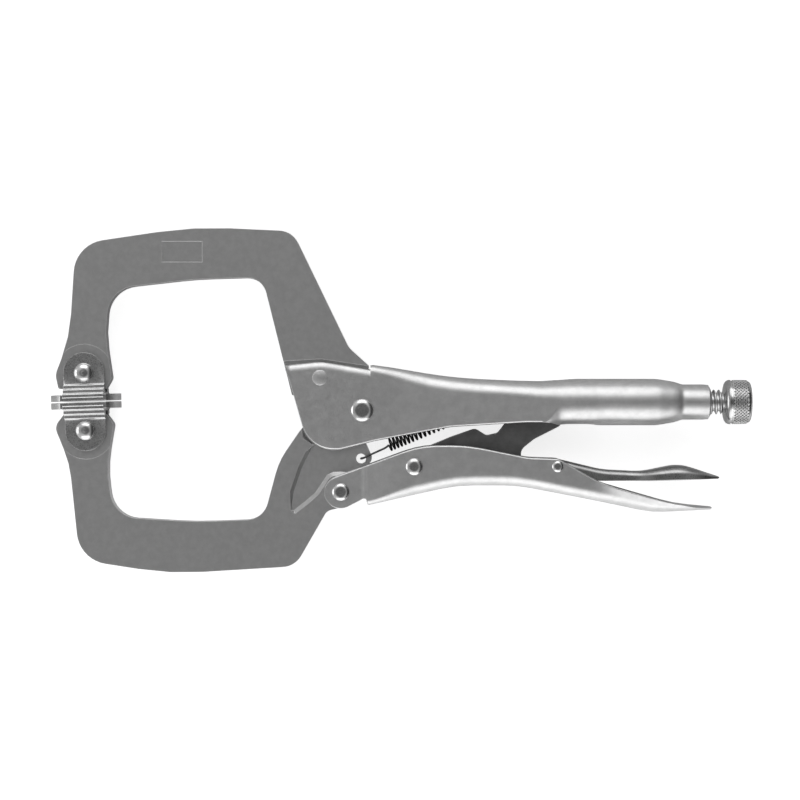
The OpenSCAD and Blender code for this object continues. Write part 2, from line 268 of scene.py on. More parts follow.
def noise(tree, place, scale, detail):
    node = tree.nodes.new("ShaderNodeTexNoise")
    for name, value in (("Vector", place), ("Scale", scale), ("Detail", detail)):
        feed(tree, node.inputs[name], value)
    return node


def grain_group():
    """Fine grain, broad mottling and stray scratches of plated steel."""
    tree = bpy.data.node_groups.new("plated_grain", "ShaderNodeTree")
    for name in ("Grain Scale", "Mottle Scale", "Scratch"):
        tree.interface.new_socket(name, in_out="INPUT", socket_type="NodeSocketFloat")
    for name in ("Grain", "Mottle", "Height"):
        tree.interface.new_socket(name, in_out="OUTPUT", socket_type="NodeSocketFloat")
    given = tree.nodes.new("NodeGroupInput").outputs
    place = tree.nodes.new("ShaderNodeTexCoord").outputs["Object"]
    stretch = tree.nodes.new("ShaderNodeMapping")
    stretch.inputs["Rotation"].default_value = (0.0, 0.0, 0.35)
    stretch.inputs["Scale"].default_value = (60.0, 2600.0, 2600.0)
    feed(tree, stretch.inputs["Vector"], place)
    grain = noise(tree, place, given["Grain Scale"], 3.0).outputs["Fac"]
    mottle = noise(tree, place, given["Mottle Scale"], 4.0)
    mottle.inputs["Roughness"].default_value = 0.62
    lines = noise(tree, stretch.outputs["Vector"], 1.0, 2.0).outputs["Fac"]
    out = tree.nodes.new("NodeGroupOutput").inputs
    feed(tree, out["Grain"], grain)
    feed(tree, out["Mottle"], mottle.outputs["Fac"])
    feed(tree, out["Height"], plus(tree, grain, times(tree, lines, given["Scratch"])))
    return tree


# Edge mask: partly plating wear, partly a painted highlight along the edges.
WEAR_AND_HIGHLIGHT_EDGES = edge_group()
PLATED_GRAIN = grain_group()


def steel(name, dark, light, edge, rough, grain_scale=2600, mottle_scale=260, scratch=0.6, bump=0.02,
          edge_amount=6.0, edge_radius=0.5, metallic=1.0):
    """A plated or forged steel: mottled between two tones, brighter along its edges, partly as worn
    plating and partly as a painted highlight.
    """
    material = bpy.data.materials.new(name)
    material.use_nodes = True
    tree = material.node_tree
    grain = grouped(tree, PLATED_GRAIN, {"Grain Scale": grain_scale, "Mottle Scale": mottle_scale,
                                         "Scratch": scratch})
    # Edge mask, partly worn plating and partly a painted highlight.
    wear_and_highlight = grouped(tree, WEAR_AND_HIGHLIGHT_EDGES, {"Radius": edge_radius * MM, "Amount": edge_amount})
    body = mixed(tree, ranged(tree, grain["Mottle"], 0.36, 0.64), (*dark, 1.0), (*light, 1.0))
    relief = tree.nodes.new("ShaderNodeBump")
    for name, value in (("Strength", 0.6), ("Distance", bump * MM), ("Height", grain["Height"])):
        feed(tree, relief.inputs[name], value)
    shader = tree.nodes["Principled BSDF"].inputs
    feed(tree, shader["Metallic"], metallic)
    # Edges are mixed towards the edge tone: partly worn plating, partly a painted highlight.
    feed(tree, shader["Base Color"], mixed(tree, wear_and_highlight["Mask"], body, (*edge, 1.0)))
    feed(tree, shader["Roughness"], ranged(tree, grain["Grain"], 0.3, 0.7, *rough))
    feed(tree, shader["Normal"], relief.outputs["Normal"])
    return material


def grey(value, warm=0.0):
    return (value + warm, value, value - warm)


# Each finish's third tone is its edge colour: partly worn plating, partly a painted highlight.
satin_plate = steel("satin_plate", grey(0.64), grey(0.72), grey(0.95), (0.34, 0.46), scratch=0.4,
                    bump=0.010)
forged_arm = steel("forged_arm", grey(0.49), grey(0.54), grey(0.88), (0.38, 0.50), grain_scale=3600,
                   mottle_scale=420, bump=0.016)
dark_link = steel("dark_link", grey(0.17), grey(0.21), grey(0.55), (0.40, 0.55), bump=0.015)
lever_finish = steel("lever_finish", grey(0.36), grey(0.46), grey(0.9), (0.25, 0.38), bump=0.010)
bright_rivet = steel("bright_rivet", grey(0.72), grey(0.84), grey(0.95), (0.14, 0.24), bump=0.006,
                     scratch=0.2)
bright_pad = steel("bright_pad", grey(0.55), grey(0.68), grey(0.92), (0.24, 0.36), bump=0.010)
turned_steel = steel("turned_steel", grey(0.52), grey(0.66), grey(0.9), (0.26, 0.4), bump=0.010)
knurled_steel = steel("knurled_steel", grey(0.46), grey(0.60), grey(0.9), (0.14, 0.24), bump=0.006)
spring_black = steel("spring_black", grey(0.03), grey(0.06), grey(0.2), (0.3, 0.42), bump=0.006,
                     metallic=0.8)


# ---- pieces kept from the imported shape, with their corners rounded ------------------

PADS = ("upper_pad", "lower_pad")
POCKET_DEPTH, POCKET_SLOPE = 1.0, 1.5
RIVET_HEAD = 2.25  # height of a pad rivet's head over the bracket's ear
yoke_ear = box_mm("upper_pad_rivet")[1][2] - RIVET_HEAD


def packed_copy(node, name):
    """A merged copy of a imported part's mesh, its flats made single faces."""
    source = frame["nodes"][node].data
    verts = [v.co / MM for v in source.vertices]
    obj = make_object(name, verts, [tuple(p.vertices) for p in source.polygons])
    clean(obj, dissolve=True)
    return obj


def machined(node, name, width, segments=3, angle=28):
    obj = packed_copy(node, name)
    round_edges(obj, width, segments, angle)
    return obj


def sloped_pocket(obj, face_z, floor_z, run):
    """Leans the walls of the pockets back, as forging dies leave them."""
    bm = bmesh.new()
    bm.from_mesh(obj.data)
    shifts = {}
    for edge in bm.edges:
        upper, lower = sorted(edge.verts, key=lambda v: -abs(v.co.z))
        upright = (upper.co.xy - lower.co.xy).length < NEAR
        from_face = abs(abs(upper.co.z) - face_z * MM)
        to_floor = abs(abs(lower.co.z) - floor_z * MM)
        if not upright or from_face > NEAR or to_floor > NEAR:
            continue
        walls = [f.normal.copy() for f in edge.link_faces]
        if len(walls) == 2 and walls[0].dot(walls[1]) > 0.6:
            shifts[upper] = (walls[0] + walls[1]).normalized() * -run * MM
    for vert, shift in shifts.items():
        vert.co += shift
    bm.to_mesh(obj.data)
    bm.free()


def forged_jaw(node, name, pocket):
    """An arm with softened edges; a pocket in its sides gets sloping walls."""
    jaw = packed_copy(node, name)
    face = box_mm(node)[1][2]
    if pocket:
        sloped_pocket(jaw, face, face - POCKET_DEPTH, POCKET_SLOPE)
    round_edges(jaw, 0.45)
    return dress(jaw, forged_arm, node)


def bevel_chosen(bm, edges, width, segments):
    bmesh.ops.bevel(bm, geom=edges, offset=width * MM, segments=segments, profile=0.5, affect="EDGES",
                    clamp_overlap=True)


def pad_bracket(node, name):
    """A pressed bracket: rolled steps down its front and back, fine edges elsewhere."""
    bracket = packed_copy(node, name)
    ear = yoke_ear + 0.1
    bm = bmesh.new()
    bm.from_mesh(bracket.data)
    rolled = [e for e in bm.edges
              if abs((e.verts[0].co - e.verts[1].co).normalized().x) > 0.99
              and e.calc_length() > 10 * MM and abs(e.verts[0].co.z) > (ear - 0.3) * MM]
    convex = [e for e in rolled if e.is_convex and abs(e.verts[0].co.z) > ear * MM]
    hollow = [e for e in rolled if not e.is_convex]
    bevel_chosen(bm, convex, 0.95, 6)
    bevel_chosen(bm, [e for e in hollow if e.is_valid], 0.35, 3)
    bm.to_mesh(bracket.data)
    bm.free()
    round_edges(bracket, 0.6, 3, 40)
    return dress(bracket, bright_pad, node)


forged_jaw("upper_jaw", "upper_jaw_arm", False)
forged_jaw("lower_jaw", "lower_jaw_arm", True)
dress(machined("toggle_link", "toggle_link_plate", 0.35), dark_link, "toggle_link")
for pad in PADS:
    pad_bracket(pad + "_yoke", pad + "_bracket")


# ---- pressed sheet channels ----------------------------------------------------------

# A channel's shape at one place: the radii of its bend across and down, half the gap in its web,
# the turn, radius and flat of the fold at its edge, its sheet's thickness, and its walls' lean.
Section = namedtuple("Section", "bend_z bend_y slot fold fold_r lip sheet lean", defaults=(0.0,))
WEB_STEPS, BEND_STEPS, WALL_STEPS, FOLD_STEPS = 5, 12, 6, 10


class Slices:
    """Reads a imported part's outline where a plane across X cuts it, in millimetres."""

    def __init__(self, node):
        mesh = frame["nodes"][node].data
        points = np.array([v.co for v in mesh.vertices]) / MM
        ends = np.array([e.vertices for e in mesh.edges])
        self.a = points[ends[:, 0]]
        self.b = points[ends[:, 1]]

    def at(self, x):
        crossing = (self.a[:, 0] - x) * (self.b[:, 0] - x) < 0
        a, b = self.a[crossing], self.b[crossing]
        t = ((x - a[:, 0]) / (b[:, 0] - a[:, 0]))[:, None]
        cut = a + (b - a) * t
        return cut[:, 1].min(), cut[:, 1].max(), cut[:, 2].max()

    def around(self, x, reach, low, high):
        """The mean outline within reach of x, kept between low and high."""
        found = [self.at(min(high, max(low, x + reach * k / 3))) for k in range(-3, 4)]
        return tuple(sum(f[i] for f in found) / len(found) for i in range(3))


def half_path(half_w, top, bottom, s):
    """One face of half a channel, from the middle of its web to its open edge, as (y, z)."""
    turn = math.pi / 2 - s.lean
    wall_start = top - s.bend_y * (1 - math.cos(turn))
    wall_end = bottom + s.fold_r * math.sin(s.fold) + s.lip * math.cos(s.fold)
    slope = s.bend_z * math.cos(turn) / (s.bend_y * math.sin(turn))
    spread = s.bend_z * math.sin(turn) + max(0.0, wall_start - wall_end) * slope
    squeeze = min(1.0, (half_w - s.slot) / spread)
    flat = half_w - spread * squeeze
    points = [(top, blend_values(s.slot, flat, i / WEB_STEPS)) for i in range(WEB_STEPS)]
    for i in range(BEND_STEPS + 1):
        a = turn * i / BEND_STEPS
        points.append((top - s.bend_y * (1 - math.cos(a)), flat + squeeze * s.bend_z * math.sin(a)))
    bend_end = points[-1][1]
    for i in range(1, WALL_STEPS):
        t = i / WALL_STEPS
        points.append((blend_values(wall_start, wall_end, t), blend_values(bend_end, half_w, t)))
    for i in range(FOLD_STEPS + 1):
        a = s.fold * i / FOLD_STEPS
        points.append((wall_end - s.fold_r * math.sin(a), half_w - s.fold_r * (1 - math.cos(a))))
    y, z = points[-1]
    points.append((y - s.lip * math.cos(s.fold), z - s.lip * math.sin(s.fold)))
    return points


def rounded_end(path, opposite, r):
    """The path with its last corner rounded over towards the sheet's opposite face."""
    corner = Vector(path[-1])
    along = corner - Vector(path[WEB_STEPS + BEND_STEPS])
    r = min(r, 0.9 * along.length / WALL_STEPS)
    along.normalize()
    over = (Vector(opposite) - corner).normalized()
    turns = [math.pi / 2 * i / (FOLD_STEPS + 1) for i in range(FOLD_STEPS + 2)]
    arc = [corner - along * r * (1 - math.sin(a)) + over * r * (1 - math.cos(a)) for a in turns]
    return path[:-len(turns)] + [tuple(point) for point in arc]


def channel_ring(half_w, top, bottom, s):
    """The closed outline of half the sheet: its outer face, then its inner face backwards."""
    t = s.sheet
    inner = s._replace(bend_z=max(s.bend_z - t, 0.15), bend_y=max(s.bend_y - t, 0.15),
                       fold_r=max(s.fold_r - t, 0.15))
    rim = t * math.sin(s.lean)
    outer_path = half_path(half_w, top, bottom + rim, s)
    inner_path = half_path(half_w - t * math.cos(s.lean), top - t, bottom + t * math.sin(s.fold), inner)
    if s.fold == 0:
        ends = outer_path[-1], inner_path[-1]
        outer_path = rounded_end(outer_path, ends[1], min(0.8, 0.4 * t))
        inner_path = rounded_end(inner_path, ends[0], min(0.3, 0.2 * t))
    return outer_path + inner_path[::-1]


def loft_channel(name, stations, web_up):
    """A channel through (x, half width, web y, edge y, section) stations, both halves."""
    turn = 1 if web_up else -1
    verts, faces = [], []
    for side in (1, -1):
        start = len(verts)
        for x, half_w, web_y, edge_y, section in stations:
            ring = channel_ring(half_w, turn * web_y, turn * edge_y, section)
            verts += [(x, turn * y, side * z) for y, z in ring]
        n = len(ring)
        for i in range(len(stations) - 1):
            for j in range(n):
                a, b = start + i * n + j, start + i * n + (j + 1) % n
                quad = (a, b, b + n, a + n)
                if max(abs(verts[k][2]) for k in quad) > 1e-4:
                    faces.append(quad)
        for first in (start, start + (len(stations) - 1) * n):
            half = n // 2
            for j in range(half - 1):
                faces.append((first + j, first + j + 1, first + n - 2 - j, first + n - 1 - j))
    obj = make_object(name, verts, faces)
    clean(obj)
    return obj


handle_sheet = 2.0
web_front = 113.7
barrel_front = 189.0
slot_half, slot_end = 3.2, (202.8, 205.5)  # the slot under the barrel, closing over slot_end
seam_half = 0.12
tube_front = 238.2


def upper_handle_section(x, half_w, height):
    """The fixed handle: bare sides in front, a web behind them, then a rolled barrel."""
    sheet = handle_sheet
    if x < web_front:
        return Section(1.95, min(3.4, 0.45 * height), half_w - sheet - 0.1, 0, 0.2, 0, sheet)
    grow = smooth_step(x, web_front - 4, 140)
    barrel = smooth_step(x, 165, 196)
    bend_z = blend_values(blend_values(2.6, half_w - 0.6, grow), half_w * 0.985, barrel)
    bend_y = blend_values(blend_values(3.0, 6.2, grow), height / 2 * 0.97, barrel)
    close = smooth_step(x, barrel_front - 7, barrel_front + 1)
    fold_r = blend_values(0.4, min(half_w, height / 2) * 0.985, close)
    fold_cos = max(0.0, 1 - (half_w - slot_half) / fold_r)
    gap = blend_values(slot_half + sheet * fold_cos, seam_half, smooth_step(x, *slot_end))
    fold = math.acos(max(0.0, 1 - (half_w - gap) / fold_r))
    lip = max(0.0, (half_w - fold_r - gap) * close)
    sheet = min(sheet, height / 2 - 5.0)
    return Section(bend_z, bend_y, 0.0, fold * close, fold_r, lip, sheet)


def build_upper_handle():
    slices = Slices("upper_handle")
    low, high = box_mm("upper_handle")
    xs = spaced((low[0] + 0.05, 92, 0.45), (92, 104, 0.9), (104, web_front, 1.4))
    xs[-1] = web_front - 0.01
    xs += spaced((web_front + 0.01, web_front + 12, 1.0), (web_front + 12, 180, 2.2), (180, 194, 0.9),
                 (194, 226, 2.0), (226, 240, 0.7), (240, high[0] - 0.9, 2.0),
                 (high[0] - 0.9, high[0] - 0.02, 0.2))
    stations = []
    for x in xs:
        bottom, top, half_w = slices.at(x)
        if 116 < x < 236:
            reach = 1.6 + 4.4 * smooth_step(x, 120, 150)
            reach = blend_values(reach, 1.5, smooth_step(x, 215, 230))
            soft = slices.around(x, reach, web_front + 0.5, tube_front - 0.5)
            top, half_w = soft[1], soft[2]
            bottom = slices.around(x, 1.5, web_front + 0.5, tube_front)[0]
        section = upper_handle_section(x, half_w, top - bottom)
        stations.append((x, half_w, top, bottom, section))
    handle = loft_channel("upper_handle_pressing", stations, True)
    round_edges(handle, 0.3, 2, 40)
    return dress(handle, satin_plate, "upper_handle")


notch_front = 112.6
ear_end = 107.5


def lower_handle_section(x, half_w, height):
    """The moving handle: two plain ears, then a channel whose walls run out at the tail."""
    sheet = min(handle_sheet, height * 0.9)
    if x < notch_front:
        return Section(0.3, 0.3, half_w - sheet, 0, 0.2, 0, sheet)
    grow = smooth_step(x, notch_front, 132)
    tail = smooth_step(x, 196, 226)
    lean = math.radians(17) * smooth_step(x, 198, 214) + math.radians(25) * smooth_step(x, 236, 250)
    bend_z = blend_values(blend_values(2.2, 4.8, grow), half_w * 0.9, tail)
    bend_y = blend_values(blend_values(2.2, 4.6, grow), height * 0.75, tail)
    return Section(bend_z, bend_y, 0.0, 0, 0.2, 0, sheet, lean)


def build_lower_handle():
    slices = Slices("lower_handle")
    low, high = box_mm("lower_handle")
    xs = spaced((low[0] + 0.03, low[0] + 1.5, 0.15), (low[0] + 1.5, 110, 0.6), (110, notch_front, 0.3))
    xs[-1] = notch_front - 0.01
    xs += spaced((notch_front + 0.01, 120, 0.7), (120, 180, 2.2), (180, 206, 1.2), (206, 246, 1.8),
                 (246, high[0] - 0.02, 0.5))
    stations = []
    for x in xs:
        bottom, top, half_w = slices.at(x)
        if x > ear_end:
            half_w = slices.around(x, 2.5 + 3.5 * smooth_step(x, ear_end, 113), ear_end, high[0] - 0.02)[2]
        stations.append((x, half_w, bottom, top, lower_handle_section(x, half_w, top - bottom)))
    handle = loft_channel("lower_handle_pressing", stations, False)
    round_edges(handle, 0.3, 2, 40)
    return dress(handle, satin_plate, "lower_handle")


def lever_section(x, half_w, height):
    """The release lever: a shallow channel that spreads into a dished tail."""
    sheet = min(1.6, height * 0.9)
    tail = smooth_step(x, 214, 236)
    bend_z = blend_values(2.4, half_w * 0.75, tail)
    bend_y = blend_values(2.2, height * 0.6, tail)
    return Section(min(bend_z, half_w - 0.05), min(bend_y, height * 0.8), 0.0, 0, 0.2, 0, sheet)


def build_release_lever():
    slices = Slices("release_lever")
    low, high = box_mm("release_lever")
    xs = spaced((low[0] + 0.05, low[0] + 2, 0.4), (low[0] + 2, 244, 1.6), (244, high[0] - 0.05, 0.5))
    stations = []
    for x in xs:
        bottom, top, half_w = slices.at(x)
        if x > 200:
            half_w = slices.around(x, 3.0, 190, high[0] - 0.05)[2]
        stations.append((x, half_w, top, bottom, lever_section(x, half_w, top - bottom)))
    lever = loft_channel("release_lever_pressing", stations, True)
    round_edges(lever, 0.25, 2, 40)
    return dress(lever, lever_finish, "release_lever")


build_upper_handle()
build_lower_handle()
build_release_lever()


# ---- turned pieces -------------------------------------------------------------------

def turned(name, profile, axis, centre, steps=72):
    """A closed solid turned from (distance along the axis, radius) points."""
    verts, faces = [], []
    n = len(profile)
    for i in range(steps):
        a = 2 * math.pi * i / steps
        for along, r in profile:
            across = (r * math.cos(a), r * math.sin(a))
            if axis == "X":
                verts.append((along, centre[1] + across[0], centre[2] + across[1]))
            else:
                verts.append((centre[0] + across[0], centre[1] + across[1], along))
    for i in range(steps):
        k = (i + 1) % steps
        faces += [(i * n + j, i * n + j + 1, k * n + j + 1, k * n + j) for j in range(n - 1)]
    obj = make_object(name, verts, faces)
    clean(obj, merge=1e-7)
    return obj


def rivet_head(z_face, z_top, r, flat):
    """Half a rivet's profile: a small land at the sheet, a round shoulder and a flat top."""
    height = z_top - z_face
    inward = -math.copysign(1, height)
    points = [(z_face + 0.4 * inward, r * 0.72), (z_face + 0.02 * inward, r * 0.97),
              (z_face + 0.10 * height, r)]
    for i in range(1, 13):
        a = math.pi / 2 * i / 12
        rise = 0.10 + 0.86 * math.sin(a)
        points.append((z_face + height * rise, r * (flat + (1 - flat) * math.cos(a))))
    points.append((z_top - 0.01 * height, r * flat * 0.6))
    points.append((z_top, 0.0))
    return points


def build_rivet(node, grip, flat, material):
    """A rivet that holds grip to each side of the mid-plane; flat is the flat share of its heads."""
    low, high = box_mm(node)
    centre = (low + high) / 2
    r = (high[0] - low[0]) / 2
    top = rivet_head(grip, high[2], r, flat)
    bottom = rivet_head(-grip, low[2], r, flat)
    rivet = turned(node + "_heads", bottom[::-1] + top, "Z", centre)
    rivet.data.shade_smooth()
    return dress(rivet, material, node)


def build_flush_rivet():
    """A pin ground level with the handle's sides, with only its rim to show."""
    low, high = box_mm("jaw_fixing_rivet")
    r = (high[0] - low[0]) / 2
    top = high[2]
    half = [(top - 0.5, r), (top + 0.02, r - 0.02), (top + 0.10, r - 0.18), (top + 0.10, 0)]
    profile = [(-z, radius) for z, radius in half[::-1]] + half
    pin = turned("jaw_fixing_rivet_pin", profile, "Z", (low + high) / 2)
    shade_sharp(pin, 30)
    return dress(pin, satin_plate, "jaw_fixing_rivet")


build_flush_rivet()
build_rivet("jaw_pivot_rivet", 5.2, 0.46, bright_rivet)
build_rivet("lower_jaw_rivet", 6.1, 0.46, bright_rivet)
build_rivet("toggle_rivet", box_mm("toggle_rivet")[1][2] - 1.3, 0.35, bright_rivet)
build_rivet("release_lever_rivet", box_mm("release_lever_rivet")[1][2] - 0.9, 0.35, bright_rivet)
for pad in PADS:
    build_rivet(pad + "_rivet", yoke_ear, 0.22, bright_rivet)
for pad in PADS:
    dress(machined(pad + "_disc", pad + "_plate", 0.2, 2), bright_pad, pad + "_disc")


# ---- what repeats: thread, knurl and coil ------------------------------------------------

def geometry_tree(name, sizes):
    """An empty geometry tree with named number inputs."""
    tree = bpy.data.node_groups.new(name, "GeometryNodeTree")
    for size, kind in sizes.items():
        tree.interface.new_socket(size, in_out="INPUT", socket_type=kind)
    tree.interface.new_socket("Geometry", in_out="OUTPUT", socket_type="NodeSocketGeometry")
    return tree, tree.nodes.new("NodeGroupInput").outputs


def close_tree(tree, shape, material):
    """Ends a tree: its instances made real, its material set."""
    real = tree.nodes.new("GeometryNodeRealizeInstances")
    finish = tree.nodes.new("GeometryNodeSetMaterial")
    finish.inputs["Material"].default_value = material
    out = tree.nodes.new("NodeGroupOutput")
    tree.links.new(shape, real.inputs[0])
    tree.links.new(real.outputs[0], finish.inputs["Geometry"])
    tree.links.new(finish.outputs[0], out.inputs[0])


def grown(name, tree, values):
    """A plain mesh object grown by a geometry tree from the sizes given."""
    obj = make_object(name, [], [])
    grower = obj.modifiers.new("grower", "NODES")
    grower.node_group = tree
    for item in tree.interface.items_tree:
        if item.in_out == "INPUT":
            grower[item.identifier] = values[item.name]
    bake_modifiers(obj)
    return obj


def grid_of(tree, across, along):
    """A unit grid with its place, as (geometry, u, v) with u and v from 0 to 1."""
    grid = tree.nodes.new("GeometryNodeMeshGrid")
    feed(tree, grid.inputs["Vertices X"], across)
    feed(tree, grid.inputs["Vertices Y"], along)
    place = tree.nodes.new("ShaderNodeSeparateXYZ")
    tree.links.new(tree.nodes.new("GeometryNodeInputPosition").outputs[0], place.inputs[0])
    u = plus(tree, place.outputs["X"], 0.5)
    v = plus(tree, place.outputs["Y"], 0.5)
    return grid.outputs["Mesh"], u, v


def moved(tree, shape, position):
    node = tree.nodes.new("GeometryNodeSetPosition")
    feed(tree, node.inputs["Geometry"], shape)
    feed(tree, node.inputs["Position"], position)
    return node.outputs[0]


THREAD_STEPS = 12  # rings to a turn


def thread_tree(material):
    """A rolled thread along X: the grid's lines follow the helix, and its ends run out."""
    sizes = {"Rings": "NodeSocketInt", "Sides": "NodeSocketInt"}
    sizes.update({key: "NodeSocketFloat" for key in ("Start", "End", "Pitch", "Root", "Crest", "Axis Y")})
    tree, given = geometry_tree("rolled_thread", sizes)
    grid, u, v = grid_of(tree, given["Rings"], given["Sides"])
    step = times(tree, u, minus(tree, given["Rings"], 1.0))
    turns = maths(tree, "DIVIDE", maths(tree, "ROUND", step), float(THREAD_STEPS))
    along = plus(tree, given["Start"],
                 times(tree, given["Pitch"], plus(tree, turns, minus(tree, v, 1.0))))
    along = maths(tree, "MINIMUM", maths(tree, "MAXIMUM", along, given["Start"]), given["End"])
    part_turn = maths(tree, "FRACT", plus(tree, turns, 0.001))
    wave = maths(tree, "ABSOLUTE", minus(tree, times(tree, part_turn, 2.0), 1.0))
    depth = minus(tree, given["Crest"], given["Root"])
    radius = plus(tree, given["Root"], times(tree, depth, eased(tree, wave, 0.12, 0.92)))
    for near_end in (minus(tree, along, given["Start"]), minus(tree, given["End"], along)):
        radius = maths(tree, "MINIMUM", radius, plus(tree, given["Root"], near_end))
    angle = times(tree, v, 2 * math.pi)
    place = vector(tree, along,
                   plus(tree, given["Axis Y"], times(tree, radius, maths(tree, "COSINE", angle))),
                   times(tree, radius, maths(tree, "SINE", angle)))
    close_tree(tree, moved(tree, grid, place), material)
    return tree


def build_screw():
    low, high = box_mm("adjusting_screw")
    knob_start = box_mm("adjusting_knob")[0][0]
    axis_y = (low[1] + high[1]) / 2
    crest = (high[1] - low[1]) / 2
    root = crest - 1.3
    start, end, pitch = low[0] + 8, knob_start - 0.1, 2.0
    rings = math.ceil((end - start + 2 * pitch) / pitch * THREAD_STEPS) + 1
    thread = grown("thread", thread_tree(turned_steel), {
        "Rings": rings, "Sides": 49, "Start": start * MM, "End": end * MM, "Pitch": pitch * MM,
        "Root": root * MM, "Crest": crest * MM, "Axis Y": axis_y * MM})
    clean(thread, cap=True)
    centre = (0, axis_y, 0)
    spigot_r = 3.0
    tip = turned("tip", [(low[0], 0), (low[0], crest - 1.8), (low[0] + 0.6, root), (start + 1, root),
                         (start + 1, 0)], "X", centre)
    spigot = turned("spigot", [(end - 2, 0), (end - 2, spigot_r), (high[0] - 0.3, spigot_r),
                               (high[0], spigot_r - 0.3), (high[0], 0)], "X", centre)
    screw = join_meshes("adjusting_screw_shank", [thread, tip, spigot])
    shade_sharp(screw, 38)
    return dress(screw, turned_steel, "adjusting_screw")


def knurl_tree(material):
    """Rows of blunt diamonds round a cylinder along X, every other place left out."""
    sizes = {"Rows": "NodeSocketInt", "Columns": "NodeSocketInt"}
    sizes.update({key: "NodeSocketFloat" for key in ("Start", "Row Step", "Radius", "Depth", "Axis Y")})
    tree, given = geometry_tree("diamond_knurl", sizes)
    grid, u, v = grid_of(tree, given["Rows"], plus(tree, given["Columns"], 1.0))
    row = maths(tree, "ROUND", times(tree, u, minus(tree, given["Rows"], 1.0)))
    column = maths(tree, "ROUND", times(tree, v, given["Columns"]))
    angle = times(tree, v, 2 * math.pi)
    place = vector(tree, plus(tree, given["Start"], times(tree, row, given["Row Step"])),
                   minus(tree, given["Axis Y"],
                         times(tree, given["Radius"], maths(tree, "SINE", angle))),
                   times(tree, given["Radius"], maths(tree, "COSINE", angle)))
    odd = maths(tree, "FLOORED_MODULO", plus(tree, row, column), 2.0)
    wanted = times(tree, maths(tree, "LESS_THAN", odd, 0.5),
                   maths(tree, "LESS_THAN", column, minus(tree, given["Columns"], 0.5)))
    stud = tree.nodes.new("GeometryNodeMeshCone")
    stud.inputs["Vertices"].default_value = 4
    feed(tree, stud.inputs["Radius Top"], times(tree, given["Row Step"], 0.1))
    feed(tree, stud.inputs["Radius Bottom"], given["Row Step"])
    feed(tree, stud.inputs["Depth"], given["Depth"])
    copies = tree.nodes.new("GeometryNodeInstanceOnPoints")
    feed(tree, copies.inputs["Points"], grid)
    feed(tree, copies.inputs["Selection"], wanted)
    feed(tree, copies.inputs["Instance"], stud.outputs["Mesh"])
    feed(tree, copies.inputs["Rotation"], vector(tree, angle, 0.0, 0.0))
    close_tree(tree, moved(tree, copies.outputs[0], place), material)
    return tree


def build_knob():
    low, high = box_mm("adjusting_knob")
    centre = (low + high) / 2
    r = (high[1] - low[1]) / 2
    body_r, collar_r, groove_r = r - 0.42, r - 0.05, r - 0.7
    front_round, back_round = 2.2, 1.8
    a, b = low[0], high[0]
    collar = [(a + front_round * (1 - math.cos(t)), collar_r - front_round * (1 - math.sin(t)))
              for t in (math.pi / 2 * i / 8 for i in range(9))]
    back = [(b - back_round * (1 - math.sin(t)), body_r - back_round * (1 - math.cos(t)))
            for t in (math.pi / 2 * i / 6 for i in range(7))]
    profile = [(a + 0.4, 3.2), (a + 0.4, 4.2), (a, 4.9)] + collar
    profile += [(a + 2.4, collar_r), (a + 2.5, groove_r), (a + 2.8, groove_r), (a + 2.9, body_r)]
    profile += back + [(b - 0.15, body_r - 2.6), (b - 0.3, 2.0), (b - 0.3, 0), (a + 8, 0), (a + 8, 3.2)]
    body = turned("body", profile + profile[:1], "X", centre)
    row_step, depth = 0.72, 0.45
    columns = 2 * round(math.pi * body_r / row_step)
    knurl = grown("knurl", knurl_tree(knurled_steel), {
        "Rows": 8, "Columns": columns, "Start": (a + 3.6) * MM, "Row Step": row_step * MM,
        "Radius": (r - 0.02 - depth) * MM, "Depth": depth * MM, "Axis Y": centre[1] * MM})
    knob = join_meshes("adjusting_knob_head", [body, knurl])
    shade_sharp(knob, 30)
    return dress(knob, knurled_steel, "adjusting_knob")


def coil_tree(material):
    """A close coil along Z whose pitch grows from one end to the other."""
    tree, given = geometry_tree("wound_coil", {
        "Samples": "NodeSocketInt", **{key: "NodeSocketFloat" for key in (
            "Turns", "Length", "Coil Radius", "Wire Radius", "Even Share")}})
    line = tree.nodes.new("GeometryNodeCurvePrimitiveLine")
    dense = tree.nodes.new("GeometryNodeResampleCurve")
    feed(tree, dense.inputs["Curve"], line.outputs["Curve"])
    feed(tree, dense.inputs["Count"], given["Samples"])
    t = tree.nodes.new("GeometryNodeSplineParameter").outputs["Factor"]
    angle = times(tree, times(tree, t, given["Turns"]), 2 * math.pi)
    rest = minus(tree, 1.0, given["Even Share"])
    share = plus(tree, given["Even Share"], times(tree, rest, t))
    place = vector(tree, times(tree, given["Coil Radius"], maths(tree, "COSINE", angle)),
                   times(tree, given["Coil Radius"], maths(tree, "SINE", angle)),
                   times(tree, given["Length"], times(tree, t, share)))
    ring = tree.nodes.new("GeometryNodeCurvePrimitiveCircle")
    ring.inputs["Resolution"].default_value = 10
    feed(tree, ring.inputs["Radius"], given["Wire Radius"])
    sweep = tree.nodes.new("GeometryNodeCurveToMesh")
    feed(tree, sweep.inputs["Curve"], moved(tree, dense.outputs[0], place))
    feed(tree, sweep.inputs["Profile Curve"], ring.outputs["Curve"])
    sweep.inputs["Fill Caps"].default_value = True
    close_tree(tree, sweep.outputs[0], material)
    return tree


